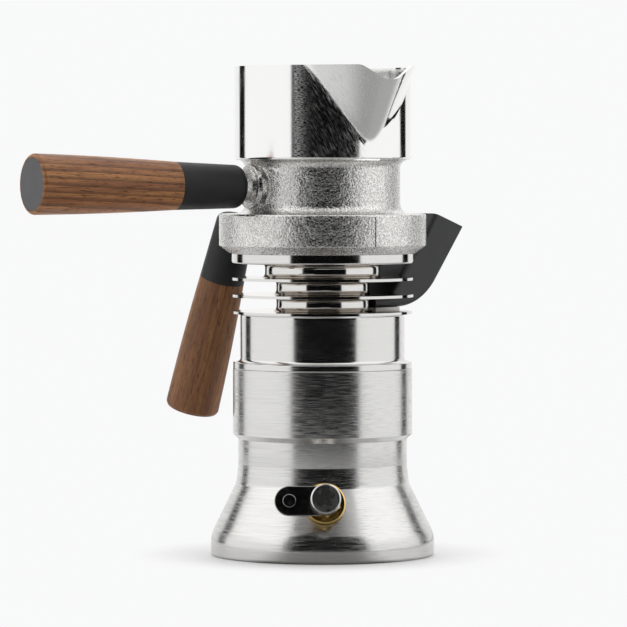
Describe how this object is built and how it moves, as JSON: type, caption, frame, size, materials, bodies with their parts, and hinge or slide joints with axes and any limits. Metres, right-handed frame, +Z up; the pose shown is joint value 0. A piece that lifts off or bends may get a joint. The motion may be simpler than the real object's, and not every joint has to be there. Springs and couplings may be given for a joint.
{
  "type": "stovetop espresso maker",
  "caption": "Stovetop espresso maker: flared lower boiler, finned upper boiler with filler spout, screw-on pouring jug, wooden handles and a relief valve.",
  "frame": {"origin": "centre of the flat base, on the hob", "axes": "+Z up along the boilers' axis; the relief valve faces -Y"},
  "size_m": [0.1926, 0.1557, 0.2149],
  "materials": {
    "brushed_steel": "satin, brushed around the axis",
    "polished_steel": "mirror polished, tinted in the groove roots",
    "cast_steel": "polished jug, rough blasted neck and ring",
    "brass": "bright turned",
    "bright_steel": "bright drawn or turned",
    "spring_steel": "bright",
    "copper": "plain copper",
    "dark_steel": "blackened with bright edges",
    "black_plastic": "fine matt",
    "filler_plastic": "moulded matt",
    "walnut": "oiled",
    "end_disc": "matt",
    "silicone": "matt"
  },
  "bodies": {
    "lower_boiler": {"lower_boiler": "brushed_steel", "relief_washer": "copper", "relief_valve_body": "brass", "relief_nut": "bright_steel", "relief_spring": "spring_steel"},
    "relief_stem": {"relief_plunger": "bright_steel"},
    "release_lever": {"release_lever": "dark_steel", "lever_pin": "dark_steel", "relief_knob": "dark_steel"},
    "boiler_seal": {"boiler_gasket": "silicone"},
    "dip_tube": {"dip_tube": "bright_steel"},
    "upper_boiler": {"upper_boiler_shell": "polished_steel", "heat_exchanger": "polished_steel", "cooling_coil": "bright_steel", "pressure_valve_body": "brass", "pressure_valve_spring": "spring_steel", "pressure_valve_cap": "brass", "filler_spout": "filler_plastic", "filler_gasket": "silicone", "lower_handle_arm": "bright_steel", "lower_handle_collar": "black_plastic", "lower_handle_grip": "walnut", "lower_handle_end_disc": "end_disc"},
    "valve_ball": {"pressure_valve_ball": "bright_steel"},
    "basket": {"coffee_basket": "bright_steel"},
    "group_seal": {"group_gasket": "silicone"},
    "filter_plate": {"filter_plate": "bright_steel"},
    "upper_chamber": {"upper_chamber": "cast_steel", "chimney": "bright_steel", "chimney_cap": "bright_steel", "upper_handle_stud": "bright_steel", "upper_handle_collar": "black_plastic", "upper_handle_grip": "walnut", "upper_handle_end_disc": "end_disc"}
  },
  "joints": [
    {"name": "relief_lift", "type": "slide", "parent": "lower_boiler", "child": "relief_stem", "axis": [0.0205, -0.9779, 0.2079], "range_m": [0, 0.0025], "deforming": ["relief_spring"]},
    {"name": "release_turn", "type": "hinge", "parent": "relief_stem", "child": "release_lever", "pos_m": [0.00088, -0.04189, 0.0254], "axis": [-0.0205, 0.9779, -0.2079], "range_deg": [0, 90], "stiffness_Nm_per_rad": 0.0018, "springref_deg": -114.59},
    {"name": "body_lift", "type": "slide", "parent": "lower_boiler", "child": "boiler_seal", "axis": [0, 0, 1], "range_m": [0, 0.09]},
    {"name": "body_rise", "type": "slide", "parent": "boiler_seal", "child": "dip_tube", "axis": [0, 0, 1], "range_m": [0, 0.0055]},
    {"name": "body_turn", "type": "hinge", "parent": "dip_tube", "child": "upper_boiler", "pos_m": [0, 0, 0.0823], "axis": [0, 0, 1], "range_deg": [0, 900]},
    {"name": "valve_open", "type": "slide", "parent": "upper_boiler", "child": "valve_ball", "axis": [0, 0, 1], "range_m": [0, 0.001], "stiffness_N_per_m": 1500, "springref_m": -0.006, "deforming": ["pressure_valve_spring"]},
    {"name": "basket_lift", "type": "slide", "parent": "upper_boiler", "child": "basket", "axis": [0, 0, 1], "range_m": [0, 0.046]},
    {"name": "chamber_lift", "type": "slide", "parent": "upper_boiler", "child": "group_seal", "axis": [0, 0, 1], "range_m": [0, 0.1]},
    {"name": "chamber_rise", "type": "slide", "parent": "group_seal", "child": "filter_plate", "axis": [0, 0, 1], "range_m": [0, 0.0055]},
    {"name": "chamber_turn", "type": "hinge", "parent": "filter_plate", "child": "upper_chamber", "pos_m": [0, 0, 0.133], "axis": [0, 0, 1], "range_deg": [0, 900]}
  ],
  "couplings": [
    {"joint": "release_turn", "follows": "relief_lift", "rad_per_m": 628.32},
    {"joint": "body_rise", "follows": "body_turn", "m_per_rad": 0.0003183},
    {"joint": "chamber_rise", "follows": "chamber_turn", "m_per_rad": 0.0003183},
    {"joint": "basket_lift", "follows": "chamber_lift", "ratio": 0.45}
  ]
}
